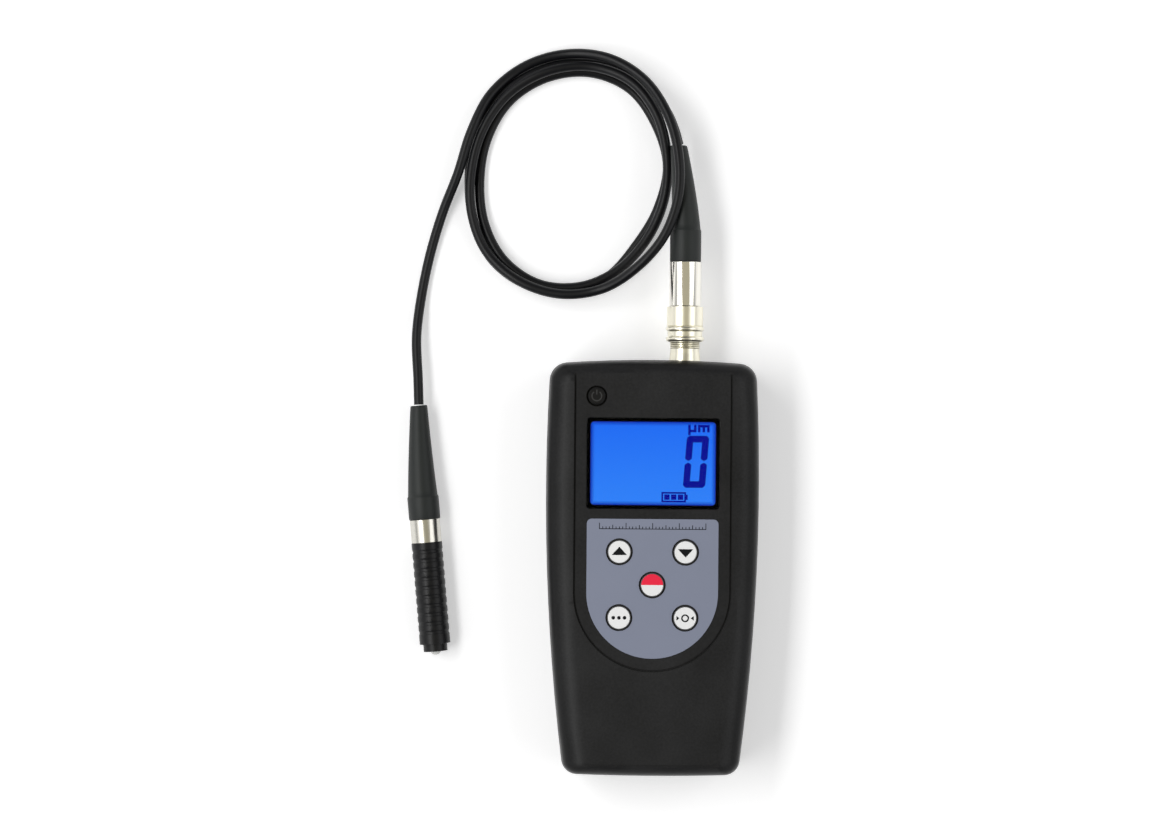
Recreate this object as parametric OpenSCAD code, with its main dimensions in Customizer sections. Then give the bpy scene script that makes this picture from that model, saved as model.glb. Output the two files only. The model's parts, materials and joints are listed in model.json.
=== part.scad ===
// Hand-held coating thickness gauge with a wired probe, lying on its back.
// +X is to the right of the display, +Y points to the connector end, +Z comes out of the display.
// The origin is the middle of the back face.

/* [Housing] */
// Length of the housing
body_len = 126; // [120:1:140]
// Width of the housing at its widest point
body_w = 64.5; // [63:0.5:74]
// Thickness from the back face to the crown of the front
body_t = 27; // [26.5:0.5:32]
// Wall thickness of both shells
wall = 2; // [1.6:0.1:2.4]
// Height of the parting plane above the back face
split_z = 17.5; // [17.5:0.25:19]
// Radius of the bowed long sides
side_bow = 650; // [450:10:1200]
// Distance from mid-length up to the widest point
widest_y = 24; // [10:1:34]
// Radius of the bowed connector end
top_bow = 365; // [250:5:900]
// Radius of the bowed lower end
bottom_bow = 700; // [300:10:1200]
// Plan corner radius at the connector end
top_corner = 5.6; // [4.5:0.1:8]
// Plan corner radius at the lower end
bottom_corner = 4.8; // [4:0.1:7]
// Width of the rounded front edge along the sides
edge_side = 7.6; // [5:0.1:7.8]
// Width of the rounded front edge at the connector end
edge_top = 5.4; // [4:0.1:6]
// Width of the rounded front edge at the lower end
edge_bottom = 3.8; // [3:0.1:6]
// Height of the rounded front edge
edge_h = 6; // [4:0.1:7]
// Rise of the front face from its edge to its middle
crown = 0.5; // [0.2:0.1:1]
// Radius of the back edge
back_edge = 3.5; // [2.6:0.1:5]
// Thickness of the back wall
floor_t = 2.2; // [2:0.1:3]

/* [Front panel] */
// Width of the U-shaped panel
panel_w = 47.6; // [46.4:0.2:49]
// Distance from the connector end to the middle of the panel's round lower end
panel_arc_from_end = 70.2; // [67:0.1:75]
// Depth of the panel below the rounded edge
panel_step = 0.3; // [0.1:0.1:0.6]
// Width of the groove round the panel
groove_w = 0.6; // [0.4:0.1:1]
// Depth of the groove round the panel
groove_d = 0.5; // [0.2:0.1:0.8]
// Width of the grey label
label_w = 39.6; // [36:0.2:44]
// Distance from the connector end to the label
label_from_end = 48; // [47.5:0.1:51]
// Thickness of the label film
label_t = 0.3; // [0.2:0.05:0.5]
// Distance of the crease from the lower end
crease_from_end = 3.7; // [3:0.1:5]

/* [Display] */
// Distance from the connector end to the middle of the window
display_from_end = 31.3; // [30:0.1:31.5]
// Width of the window opening
window_w = 40.2; // [36:0.2:41]
// Height of the window opening
window_h = 27.6; // [24:0.2:28.4]
// Thickness of the window
lens_t = 1; // [0.8:0.1:1.2]
// Width of the ledge that carries the window
ledge = 1.25; // [0.5:0.05:1.3]
// Width of the display glass
lcd_w = 43; // [42:0.2:44]
// Height of the display glass
lcd_h = 30; // [29:0.2:30.4]
// Thickness of the display glass
lcd_t = 2; // [1.6:0.1:2.4]
// Thickness of the backlight
backlight_t = 3; // [2:0.1:3.2]

/* [Keys] */
// Diameter of the round key caps
key_d = 7.1; // [6:0.1:7.6]
// Diameter of the power key cap
power_d = 5.3; // [4.4:0.1:5.6]
// Gap between a cap and its hole
key_gap = 0.5; // [0.3:0.05:0.6]
// Distance from the middle to the outer keys, across
key_dx = 9.95; // [9.4:0.05:10.6]
// Distance between rows of keys
key_row = 9.9; // [9.6:0.1:10.8]
// Distance from the connector end to the middle key
keys_from_end = 67.8; // [67.8:0.1:69]
// Distance from the widest point of the side to the power key
power_from_side = 15.15; // [14.25:0.05:18.25]
// Distance from the connector end to the power key
power_from_end = 11.1; // [10:0.1:11.1]
// Height of the round caps above the panel
key_rise = 0.8; // [0.7:0.1:1.5]
// Height of the power cap above the panel
power_rise = 0.3; // [0.1:0.1:0.6]
// Travel of a key
key_travel = 0.6; // [0.3:0.1:0.8]

/* [Board] */
// Thickness of the circuit board
board_t = 1.6; // [1:0.1:1.7]
// Width of the circuit board
board_w = 48; // [46:0.5:50]
// Distance from the connector end to the lower edge of the circuit board
board_from_end = 87; // [85:0.5:93]
// Width of a push switch
switch_w = 6; // [5:0.1:6.2]
// Height of a push switch body
switch_h = 3.5; // [3:0.1:3.8]
// Diameter of a push switch stem
stem_d = 3.4; // [2.6:0.1:3.6]
// Diameter of the housing screws
screw_d = 2.6; // [2:0.1:2.8]

/* [Battery bay] */
// Diameter of a battery cell
cell_d = 10.5; // [10.2:0.1:10.6]
// Length of a battery cell with its nub
cell_len = 44.5; // [43.5:0.1:45]
// Length of a contact spring with the cells in
spring_len = 5; // [4:0.1:6]
// Thickness of the contact strips
strip_t = 0.4; // [0.3:0.05:0.6]
// Wall of the bay
bay_wall = 1.2; // [1:0.1:1.4]
// Width of the side tongues of the door
tongue_w = 1; // [0.6:0.1:1.2]

/* [Connector] */
// Connector axis, across
socket_x = 9.6; // [6:0.1:11]
// Connector axis above the back face
socket_z = 12; // [9:0.1:12.2]
// Thread diameter of the socket
socket_d = 8.9; // [8:0.1:9]
// Length of the flared collar of the socket
flare_len = 4.1; // [3:0.1:5]
// Diameter of the coupling ring
ring_d = 11; // [10.6:0.1:12]
// Diameter over the beads of the coupling ring
bead_d = 11.6; // [11.2:0.1:12.6]
// Length of the coupling ring
ring_len = 10.7; // [9.8:0.1:13]
// Diameter of the plug shell
plug_d = 9.7; // [9:0.1:10.4]
// Length of the plug shell behind the coupling ring
plug_len = 13.4; // [10:0.1:18]
// Diameter of the plug's rubber boot
boot_d = 9.5; // [8.6:0.1:9.7]
// Length of the straight part of the plug's boot
boot_straight = 10; // [6:0.1:14]
// Length of the tapered part of the plug's boot
boot_taper = 25.6; // [18:0.1:32]
// Diameter of both boots at the cable
boot_tip_d = 5.2; // [4:0.1:6]

/* [Probe] */
// Shared end of the probe's boot and collar, across
probe_x = -69.4; // [-90:0.1:-60]
// Shared end of the probe's boot and collar, along the housing
probe_y = 13.8; // [0:0.1:30]
// Turn of the probe away from the housing's axis, in degrees
probe_turn = 5.2; // [0:0.1:12]
// Diameter of the probe's boot
probe_boot_d = 9.6; // [9.4:0.1:11]
// Length of the straight part of the probe's boot
probe_boot_straight = 7.3; // [4:0.1:12]
// Length of the tapered part of the probe's boot
probe_boot_taper = 27.6; // [20:0.1:36]
// Diameter of the metal collar
collar_d = 9.3; // [9:0.1:9.6]
// Length of the metal collar
collar_len = 7; // [4:0.1:12]
// Diameter of the ribbed sleeve
sleeve_d = 9.4; // [9.2:0.1:9.6]
// Length of the ribbed sleeve
sleeve_len = 31.1; // [28:0.1:40]
// Spacing of the ribs
rib_pitch = 2.75; // [2:0.05:4]
// Depth of the grooves between the ribs
rib_depth = 0.2; // [0.1:0.05:0.3]
// Diameter of the sliding core
core_d = 7.3; // [6.4:0.1:7.4]
// Length of core that stands out of the sleeve
core_out = 2.3; // [2.1:0.1:4]
// Diameter of the measuring tip
tip_d = 3.3; // [2.4:0.1:4]
// Height of the measuring tip
tip_out = 1.2; // [0.8:0.1:1.6]
// Travel of the core into the sleeve
probe_travel = 2; // [1:0.1:2]

/* [Cable] */
// Diameter of the cable
cable_d = 3; // [2:0.1:3]

/* [Hidden] */
$fn = 64;

// Clearances: slide is a running fit, seat is a resting gap, room is free space round a piece
slide = 0.05;
seat = 0.2;
room = 0.5;
over = 1;

// Places on the front, measured from the connector end and the side
end_y = body_len / 2;
panel_arc_y = end_y - panel_arc_from_end;
label_top = end_y - label_from_end;
display_y = end_y - display_from_end;
keys_y = end_y - keys_from_end;
power_x = power_from_side - body_w / 2;
power_y = end_y - power_from_end;
board_y0 = end_y - board_from_end;

// Draft of the side walls at the front edge and at the back edge
front_draft = 0.35;
back_draft = 0.5;
least_corner = 1.6;
corner_n = 6;
side_n = 12;
end_n = 8;

// Heights, from the back face up
z_face = body_t - crown;
z_edge = z_face - edge_h;
panel_z = z_face - panel_step;
ceiling_z = panel_z - wall;
cell_z = floor_t + seat + cell_d / 2;
bay_top = cell_z + cell_d / 2 + seat;
roof_z = bay_top + bay_wall;
board_z = roof_z + seat;
board_top = board_z + board_t;

// Window seat
window_depth = lens_t + seat;
window_corner = 1.2;

// Key stack: flange under the panel, post, switch stem, switch
flange_t = 0.8;
flange_over = 0.7;
flange_z = ceiling_z - seat - flange_t;
cap_chamfer = 0.35;
post_d = 4.2;
stem_top = board_top + switch_h + key_travel + seat;
stem_len = 2.2;
KEYS = [
    ["up", -key_dx, keys_y + key_row, key_d, key_rise],
    ["down", key_dx, keys_y + key_row, key_d, key_rise],
    ["select", 0, keys_y, key_d, key_rise],
    ["count", -key_dx, keys_y - key_row, key_d, key_rise],
    ["zero", key_dx, keys_y - key_row, key_d, key_rise],
    ["power", power_x, power_y, power_d, power_rise]
];

// Battery bay
cell_pitch = cell_d + 0.3;
bay_w = 4 * cell_pitch + 2 * seat;
bay_y0 = -body_len / 2 + wall + bay_wall;
bay_y1 = bay_y0 + 2 * strip_t + cell_len + spring_len;
nub_d = 3.8;
nub_len = 0.8;
strip_h = 8;
tab_w = 3;
tab_over = 0.6;
wire_d = 0.8;
tongue_t = 0.7;
tongue_z = (floor_t - tongue_t) / 2;
door_z = 0.2;
cell_x = [for (i = [0:3]) (i - 1.5) * cell_pitch];
plus_up = [true, false, true, false];
tab_x = [cell_x[0], cell_x[3]];

// Screws and their bosses
boss_d = screw_d + 4.4;
boss_x = body_w / 2 - 7.2;
boss_from_end = 11;
boss_y = [end_y - boss_from_end, bay_y1 + bay_wall + boss_d / 2 + 0.6];
boss_at = [for (s = [-1, 1]) for (y = boss_y) [s * boss_x, y]];
screw_seat = 6;
head_d = screw_d + 2;
head_t = 2;
screw_end = ceiling_z - 2;
board_screw_d = 2;
board_screw_head = 1.3;
board_screw_grip = 4.5;
board_post_d = 5;
board_screw_inset = 4.5;
board_screw_rise = 5.6;
board_screw_y = keys_y + key_row + board_screw_rise;
board_screw_at = [for (s = [-1, 1]) [s * (board_w / 2 - board_screw_inset), board_screw_y]];

// Connector, measured along its axis from its seat on the end wall
seat_y = end_y - 0.6;
pad_len = 0.8 + wall;
neck_len = 2.1;
ring_at = flare_len + neck_len;
plug_at = ring_at + ring_len + seat;
boot_at = plug_at + plug_len;
lip_len = 2.7;
lip_at = ring_at + ring_len - lip_len;
socket_out = lip_at - 1.2;
socket_in = 10;
insert_d = socket_d - 1.7;
plug_bore = socket_d - 2.1;
pin_d = 1;
pin_r = 2;
nut_t = 2.4;
nut_w = socket_d + 3.1;
boot_lean = 2.3;
boot_droop = 2.5;
boot_shoulder = 0.25;
boot_bend = 1.5;

// Probe, measured along its axis from the end of its boot
probe_z = max(probe_boot_d, sleeve_d, collar_d) / 2;
probe_boot_lean = 1.05;
sleeve_end = collar_len + sleeve_len;
core_end = sleeve_end + core_out;
core_len = 14.4;
core_back = core_end - core_len;
stop_at = sleeve_end - 5;
sleeve_bore = core_d + 0.6;
stub_len = 7;
core_bore = 5;
core_wall = 1.9;
spring_turns = 7;

// Points along the middle of the cable, from the plug's boot to the probe's boot
cable_route = [
    [7.3, 128.8, 9.45], [6, 133.5, 8.5], [3.6, 139, 6.95], [-1.1, 145.1, 4.65], [-11.9, 152.4, 1.8],
    [-25, 154.3, 1.6], [-37.9, 150.7, 1.55], [-48.6, 142.7, 1.55], [-55.2, 131.2, 1.55],
    [-56.7, 118.1, 1.55], [-55.2, 105.2, 1.55], [-49.4, 93.5, 1.55], [-38.9, 86, 1.55],
    [-26.1, 83.8, 1.55], [-14.1, 88.5, 1.55], [-5.4, 98.2, 1.55], [1.2, 109.5, 1.55], [4.1, 122.8, 1.55],
    [0.3, 135.8, 1.55], [-7.7, 146.4, 1.6], [-20.1, 151.2, 2.15], [-33.4, 149.4, 2.4],
    [-44.6, 142.2, 1.6], [-51.3, 130.7, 1.55], [-53.5, 117.6, 1.6], [-51.9, 104.5, 2.25],
    [-45.7, 93.2, 3.45], [-34.9, 86.1, 4.25], [-22, 85.5, 4.6], [-10.3, 91, 4.65], [-1.7, 100.8, 4.3],
    [3.2, 112.8, 4.75], [3.85, 125.49, 7.45], [0.5, 138.2, 8.55], [-7.7, 148.4, 7.05], [-20, 152.8, 5],
    [-33.2, 151.1, 5.05], [-44.8, 144.3, 4.3], [-52.5, 133.5, 4.15], [-56, 120.8, 4.6],
    [-55.8, 107.8, 4.65], [-51.1, 95.8, 5.05], [-41.5, 87.2, 6.65], [-29.1, 83.1, 7.2],
    [-16.2, 84.5, 8.25], [-5.7, 90.7, 13.05], [2.7, 100.2, 15.8], [7.1, 112.4, 16.5],
    [7.2, 125.3, 15.25], [3.8, 137.8, 12.9], [-3.4, 148.6, 9.55], [-14.4, 155.3, 7.05],
    [-27.3, 156.7, 3.55], [-39.9, 152.9, 2.75], [-50.1, 144.4, 3.9], [-56.1, 132.6, 5.55],
    [-60, 120, 5.1], [-64.7, 108, 2.35], [-68.4, 95.5, 1.65], [-71, 82.7, 1.75], [-72.4, 69.9, 3.75],
    [-71.8, 56.9, 4.75], [-71.5, 48.9, 4.8]
];

// Arcs and the rounded outline of the housing

function arc(c, r, a0, a1, n) =
    [for (i = [0:n - 1]) let (a = a0 + (a1 - a0) * i / n) c + r * [cos(a), sin(a)]];

function bearing(from, to) = atan2(to.y - from.y, to.x - from.x);

function mirrored(p) = [-p.x, p.y];

// Where two circles cross, on the left (side 1) or right (side -1) of the line between their middles
function crossing(c1, r1, c2, r2, side) =
    let (v = c2 - c1, d = norm(v), a = (r1 * r1 - r2 * r2 + d * d) / (2 * d))
    c1 + a * v / d + side * sqrt(r1 * r1 - a * a) * [-v.y, v.x] / d;

// Outline of bowed sides and ends with tangent corners, set in by ds at the sides,
// dt at the connector end and db at the lower end
function outline(ds, dt, db) =
    let (
        side_c = [body_w / 2 - side_bow, widest_y],
        top_c = [0, body_len / 2 - top_bow],
        low_c = [0, bottom_bow - body_len / 2],
        rt = max(top_corner - ds / 2, least_corner),
        rb = max(bottom_corner - ds / 2, least_corner),
        pt = crossing(side_c, side_bow - ds - rt, top_c, top_bow - dt - rt, 1),
        pb = crossing(side_c, side_bow - ds - rb, low_c, bottom_bow - db - rb, -1),
        a_low = bearing(low_c, pb),
        a_side0 = bearing(side_c, pb),
        a_side1 = bearing(side_c, pt),
        a_top = bearing(top_c, pt)
    )
    concat(
        arc(pb, rb, a_low, a_side0, corner_n),
        arc(side_c, side_bow - ds, a_side0, a_side1, side_n),
        arc(pt, rt, a_side1, a_top, corner_n),
        arc(top_c, top_bow - dt, a_top, 180 - a_top, end_n),
        arc(mirrored(pt), rt, 180 - a_top, 180 - a_side1, corner_n),
        arc(mirrored(side_c), side_bow - ds, 180 - a_side1, 180 - a_side0, side_n),
        arc(mirrored(pb), rb, 180 - a_side0, 180 - a_low, corner_n),
        arc(low_c, bottom_bow - db, 180 - a_low, 360 + a_low, end_n)
    );

function ring(ds, dt, db, z) = [for (p = outline(ds, dt, db)) [p.x, p.y, z]];

function even_ring(d, z) = ring(d, d, d, z);

// Set-in of an elliptical edge of a given width, phi degrees up it
function edge_inset(width, thick, phi) = front_draft + width - (width - thick) * cos(phi);

// Ring of the rounded front edge, for the outside (thick 0) or the cavity
function edge_ring(phi, thick, drop) =
    ring(edge_inset(edge_side, thick, phi), edge_inset(edge_top, thick, phi),
        edge_inset(edge_bottom, thick, phi), z_edge + (edge_h - drop) * sin(phi));

function crown_ring(s, least) =
    [for (p = edge_ring(90, 0, 0)) [s * p.x, s * p.y, z_face + crown * (1 - s * s) / (1 - least * least)]];

function back_ring(phi) =
    even_ring(back_draft + back_edge * (1 - cos(phi)), back_edge * (1 - sin(phi)));

front_outer = concat(
    [even_ring(0, split_z)],
    [for (phi = [0:18:90]) edge_ring(phi, 0, 0)],
    [for (s = [0.8, 0.55, 0.3]) crown_ring(s, 0.3)]
);
front_cavity = concat(
    [even_ring(wall, split_z - over)],
    [for (phi = [0:30:90]) edge_ring(phi, wall, wall + panel_step)]
);
rear_outer = concat([for (phi = [90:-22.5:0]) back_ring(phi)], [even_ring(0, split_z)]);
rear_cavity = [even_ring(wall + back_draft, floor_t), even_ring(wall, split_z + over)];

// Closed solid through a stack of rings with the same number of points
module skin(rings) {
    n = len(rings[0]);
    last = len(rings) - 1;
    sides = [
        for (k = [0:last - 1]) for (i = [0:n - 1])
            let (a = k * n + i, b = k * n + (i + 1) % n)
            each [[a, a + n, b + n], [a, b + n, b]]
    ];
    low_cap = [for (i = [0:n - 1]) i];
    high_cap = [for (i = [n - 1:-1:0]) last * n + i];
    polyhedron([for (r = rings) each r], concat([low_cap], sides, [high_cap]));
}

// Tubes along a path

function unit(v) = v / norm(v);

// Point on a smooth curve through p, which runs straight out of both of its ends
function spline(p, i, t) =
    let (
        b = p[i],
        c = p[i + 1],
        a = i > 0 ? p[i - 1] : 2 * b - c,
        d = i + 2 < len(p) ? p[i + 2] : 2 * c - b
    )
    (2 * b + (c - a) * t + (2 * a - 5 * b + 4 * c - d) * t * t + (3 * b - a - 3 * c + d) * t * t * t) / 2;

function smooth_path(p, steps) =
    concat([for (i = [0:len(p) - 2]) for (k = [0:steps - 1]) spline(p, i, k / steps)], [p[len(p) - 1]]);

// Rings round a path; across is a direction that the path never runs along
function tube_rings(path, radii, sides, across) =
    [
        for (i = [0:len(path) - 1])
            let (
                t = unit(path[min(i + 1, len(path) - 1)] - path[max(i - 1, 0)]),
                s = unit(cross(t, across)),
                u = cross(s, t)
            )
            [for (k = [0:sides - 1]) let (a = 360 * k / sides) path[i] + radii[i] * (cos(a) * s - sin(a) * u)]
    ];

// Coil along +Z between two heights, with its outside radius going from r0 to r1
function coil_path(r0, r1, z0, z1, turns, steps) =
    [
        for (i = [0:turns * steps])
            let (f = i / (turns * steps), r = r0 + (r1 - r0) * f - wire_d / 2)
            [r * cos(360 * i / steps), r * sin(360 * i / steps), z0 + wire_d / 2 + (z1 - z0 - wire_d) * f]
    ];

module coil(r0, r1, z0, z1, turns) {
    path = coil_path(r0, r1, z0 + slide, z1 - slide, turns, 10);
    skin(tube_rings(path, [for (p = path) wire_d / 2], 5, [0, 0, 1]));
}

// Rubber boot along +Z: straight from z = 0, then tapered and leaning to its tip
module boot(d, straight, taper, lean) {
    taper_n = 8;
    path = concat(
        [[0, 0, 0], [0, 0, straight - boot_shoulder]],
        [for (i = [0:taper_n]) let (f = i / taper_n) concat(lean * pow(f, boot_bend), straight + taper * f)]
    );
    radii = concat(
        [d / 2, d / 2],
        [for (i = [0:taper_n]) d / 2 - boot_shoulder + (boot_tip_d / 2 - d / 2 + boot_shoulder) * i / taper_n]
    );
    skin(tube_rings(path, radii, 24, [1, 0, 0]));
}

// Flat outlines

module u_shape(w, top) {
    translate([-w / 2, panel_arc_y]) square([w, top - panel_arc_y]);
    translate([0, panel_arc_y]) circle(d = w);
}

module round_rect(w, h, r) {
    square([w - 2 * r, h], center = true);
    square([w, h - 2 * r], center = true);
    for (x = [-1, 1]) for (y = [-1, 1]) translate([x * (w / 2 - r), y * (h / 2 - r)]) circle(r = r);
}

module label_outline(w, top) {
    corner = 1.5;
    u_shape(w, top - corner);
    translate([-w / 2 + corner, panel_arc_y]) square([w - 2 * corner, top - panel_arc_y]);
    for (x = [-1, 1]) translate([x * (w / 2 - corner), top - corner]) circle(r = corner);
}

module block(x, y, z) {
    translate([x[0], y[0], z[0]]) cube([x[1] - x[0], y[1] - y[0], z[1] - z[0]]);
}

module tube(d, bore, h) {
    difference() {
        cylinder(d = d, h = h);
        translate([0, 0, -over]) cylinder(d = bore, h = h + 2 * over);
    }
}

module on_connector() {
    translate([socket_x, seat_y, socket_z]) rotate([-90, 0, 0]) children();
}

module on_probe() {
    translate([probe_x, probe_y, probe_z]) rotate([90, 0, probe_turn]) children();
}

module at_pins() {
    for (a = [45:90:315]) rotate(a) translate([pin_r, 0, 0]) children();
}

// Housing

module key_hole(k) {
    translate([k[1], k[2], ceiling_z - over]) cylinder(d = k[3] + 2 * key_gap, h = body_t);
}

module panel_cuts() {
    translate([0, 0, panel_z]) linear_extrude(body_t) u_shape(panel_w, body_len);
    translate([0, 0, panel_z - groove_d]) linear_extrude(body_t) difference() {
        u_shape(panel_w, body_len);
        u_shape(panel_w - 2 * groove_w, body_len + over);
    }
    translate([0, 0, panel_z - label_t])
        linear_extrude(body_t) label_outline(label_w + 2 * slide, label_top + slide);
    translate([0, display_y, panel_z - window_depth])
        linear_extrude(body_t) round_rect(window_w, window_h, window_corner);
    translate([0, display_y, ceiling_z - over])
        linear_extrude(body_t) round_rect(window_w - 2 * ledge, window_h - 2 * ledge, window_corner);
    for (k = KEYS) key_hole(k);
}

module front_shell() {
    crease_y = -body_len / 2 + crease_from_end;
    color([0.15, 0.15, 0.15]) difference() {
        union() {
            difference() {
                skin(front_outer);
                skin(front_cavity);
            }
            for (p = boss_at)
                translate([p.x, p.y, split_z]) cylinder(d = boss_d - over, h = ceiling_z - split_z + over);
            for (p = board_screw_at)
                translate([p.x, p.y, board_top]) cylinder(d = board_post_d, h = ceiling_z - board_top + over);
        }
        panel_cuts();
        block([-panel_w / 2, panel_w / 2], [crease_y, crease_y + groove_w / 2],
            [z_face - groove_d / 2, body_t + over]);
        for (p = boss_at) translate([p.x, p.y, split_z - over])
            cylinder(d = screw_d + 2 * slide, h = screw_end - split_z + 2 * over);
        for (p = board_screw_at)
            translate([p.x, p.y, board_top - over])
                cylinder(d = board_screw_d + 2 * slide, h = board_screw_grip + 1.5 + over);
    }
}

module bay_block() {
    block([-bay_w / 2 - bay_wall, bay_w / 2 + bay_wall], [-body_len / 2, bay_y1 + bay_wall], [0, roof_z]);
}

module door_cuts() {
    block([-bay_w / 2, bay_w / 2], [-body_len, bay_y1], [-over, floor_t]);
    block([-bay_w / 2 - tongue_w - seat, bay_w / 2 + tongue_w + seat], [-body_len, bay_y1 + tongue_w + seat],
        [tongue_z - seat / 2, tongue_z + tongue_t + seat / 2]);
}

module tab_slot(x, z0, z1) {
    block([x - tab_w / 2 - seat, x + tab_w / 2 + seat], [bay_y1 - strip_t - seat, bay_y1 + seat], [z0, z1]);
}

module rear_shell() {
    pad_w = nut_w + 2.5;
    color([0.12, 0.12, 0.12]) difference() {
        union() {
            difference() {
                skin(rear_outer);
                skin(rear_cavity);
            }
            intersection() {
                skin(rear_outer);
                bay_block();
            }
            for (p = boss_at)
                translate([p.x, p.y, floor_t - over]) cylinder(d = boss_d, h = split_z - floor_t + over);
            block([socket_x - pad_w / 2, socket_x + pad_w / 2], [seat_y - pad_len, seat_y - wall / 2],
                [floor_t, split_z]);
        }
        block([-bay_w / 2, bay_w / 2], [bay_y0, bay_y1], [floor_t - over, bay_top]);
        door_cuts();
        for (x = tab_x) tab_slot(x, bay_top - over, roof_z + over);
        for (p = boss_at) translate([p.x, p.y, -over]) {
            cylinder(d = head_d + 2 * seat, h = screw_seat + over);
            cylinder(d = screw_d + 2 * seat, h = split_z + 2 * over);
        }
        on_connector() {
            cylinder(d = bead_d - over, h = over * 4);
            translate([0, 0, -pad_len - over]) cylinder(d = socket_d + 2 * slide, h = pad_len + 2 * over);
        }
    }
}

module battery_door() {
    grip_n = 6;
    grip_pitch = 2.6;
    grip_w = 18;
    grip_y = -body_len / 2 + 13;
    color([0.13, 0.13, 0.13]) difference() {
        intersection() {
            skin(rear_outer);
            union() {
                block([-bay_w / 2 + seat, bay_w / 2 - seat], [-body_len, bay_y1 - seat],
                    [door_z, floor_t - seat / 2]);
                block([-bay_w / 2 - tongue_w, bay_w / 2 + tongue_w], [-body_len, bay_y1 + tongue_w],
                    [tongue_z, tongue_z + tongue_t]);
            }
        }
        for (i = [0:grip_n - 1])
            translate([0, grip_y + i * grip_pitch, 0])
                block([-grip_w / 2, grip_w / 2], [0, grip_pitch / 2], [-over, door_z + groove_d]);
    }
}

module screw(d, head, head_h, length) {
    difference() {
        union() {
            translate([0, 0, -head_h]) cylinder(d = head, h = head_h);
            cylinder(d = d, h = length);
        }
        for (a = [0, 90]) rotate(a) translate([-head / 3, -head / 12, -head_h - over])
            cube([head / 1.5, head / 6, over + head_h / 2]);
    }
}

module housing_screws() {
    color([0.6, 0.6, 0.62]) for (p = boss_at)
        translate([p.x, p.y, screw_seat]) screw(screw_d, head_d, head_t, screw_end - screw_seat);
}

// Display and board

module display_window() {
    color([0.1, 0.3, 0.7, 0.5]) translate([0, display_y, panel_z - window_depth])
        linear_extrude(lens_t) round_rect(window_w - 2 * seat, window_h - 2 * seat, window_corner - seat);
}

lcd_top = ceiling_z - slide;
shelf_z = lcd_top - lcd_t - backlight_t;
frame_wall = 1;

module display_glass() {
    color([0.13, 0.45, 0.96]) translate([-lcd_w / 2, display_y - lcd_h / 2, lcd_top - lcd_t])
        cube([lcd_w, lcd_h, lcd_t]);
}

module backlight() {
    color([0.7, 0.85, 1]) translate([-lcd_w / 2, display_y - lcd_h / 2, shelf_z])
        cube([lcd_w, lcd_h, backlight_t]);
}

module display_frame() {
    w = lcd_w + 2 * seat;
    h = lcd_h + 2 * seat;
    color([0.85, 0.85, 0.83]) translate([0, display_y, 0]) difference() {
        block([-w / 2 - frame_wall, w / 2 + frame_wall], [-h / 2 - frame_wall, h / 2 + frame_wall],
            [board_top, lcd_top]);
        block([-w / 2, w / 2], [-h / 2, h / 2], [shelf_z, body_t]);
        block([-w / 2 + frame_wall, w / 2 - frame_wall], [-h / 2 + frame_wall, h / 2 - frame_wall],
            [board_top - over, shelf_z - frame_wall]);
    }
}

module key_label() {
    color([0.53, 0.55, 0.63]) translate([0, 0, panel_z - label_t]) linear_extrude(label_t) difference() {
        label_outline(label_w, label_top);
        for (k = KEYS) translate([k[1], k[2]]) circle(d = k[3] + 2 * key_gap);
    }
}

module main_board() {
    edge_y = display_y + lcd_h / 2 + frame_wall + seat;
    ear_y = power_y + switch_w / 2 + 1.5;
    color([0.1, 0.35, 0.2]) difference() {
        translate([0, 0, board_z]) linear_extrude(board_t) difference() {
            union() {
                translate([-board_w / 2, board_y0]) square([board_w, edge_y - board_y0]);
                translate([-board_w / 2, 0]) square([board_w / 2 + power_x + switch_w, ear_y]);
            }
            for (p = boss_at) translate(p) circle(d = boss_d + 2 * room);
            for (p = board_screw_at) translate(p) circle(d = board_screw_d + 2 * seat);
        }
        for (x = tab_x) tab_slot(x, board_z - over, board_top + over);
    }
}

module processor_chip() {
    side = 10;
    legs = 8;
    pitch = 1;
    chip_t = 1.5;
    color([0.1, 0.1, 0.1]) translate([0, display_y, board_z]) {
        translate([-side / 2, -side / 2, -chip_t]) cube([side, side, chip_t - slide]);
        for (a = [0:90:270]) for (i = [0:legs - 1])
            rotate(a) translate([side / 2 - slide, (i - (legs - 1) / 2) * pitch - pitch / 4, -chip_t / 2])
                cube([1.2, pitch / 2, chip_t / 2]);
    }
}

module board_screws() {
    color([0.7, 0.7, 0.72]) for (p = board_screw_at)
        translate([p.x, p.y, board_z])
            screw(board_screw_d, 2 * board_screw_d, board_screw_head, board_t + board_screw_grip);
}

// Keys

module key_cap(k) {
    top = panel_z + k[4];
    d = k[3];
    flange_d = d + 2 * key_gap + 2 * flange_over;
    color(k[0] == "power" ? [0.08, 0.08, 0.08] : [0.95, 0.95, 0.95]) translate([k[1], k[2], 0]) {
        translate([0, 0, flange_z]) cylinder(d = d, h = top - cap_chamfer - flange_z);
        translate([0, 0, top - cap_chamfer]) cylinder(d1 = d, d2 = d - 2 * cap_chamfer, h = cap_chamfer);
        translate([0, 0, flange_z]) cylinder(d = flange_d, h = flange_t);
        translate([0, 0, stem_top]) cylinder(d = post_d, h = flange_z - stem_top + flange_t / 2);
    }
}

module key_stem(k) {
    color([0.9, 0.85, 0.6]) translate([k[1], k[2], stem_top - stem_len]) cylinder(d = stem_d, h = stem_len);
}

module key_switch(k) {
    well_z = stem_top - stem_len - key_travel - seat;
    color([0.2, 0.2, 0.22]) difference() {
        translate([k[1] - switch_w / 2, k[2] - switch_w / 2, board_top]) cube([switch_w, switch_w, switch_h]);
        translate([k[1], k[2], well_z]) cylinder(d = stem_d + 2 * slide, h = switch_h + over);
    }
}

// Battery bay

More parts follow.
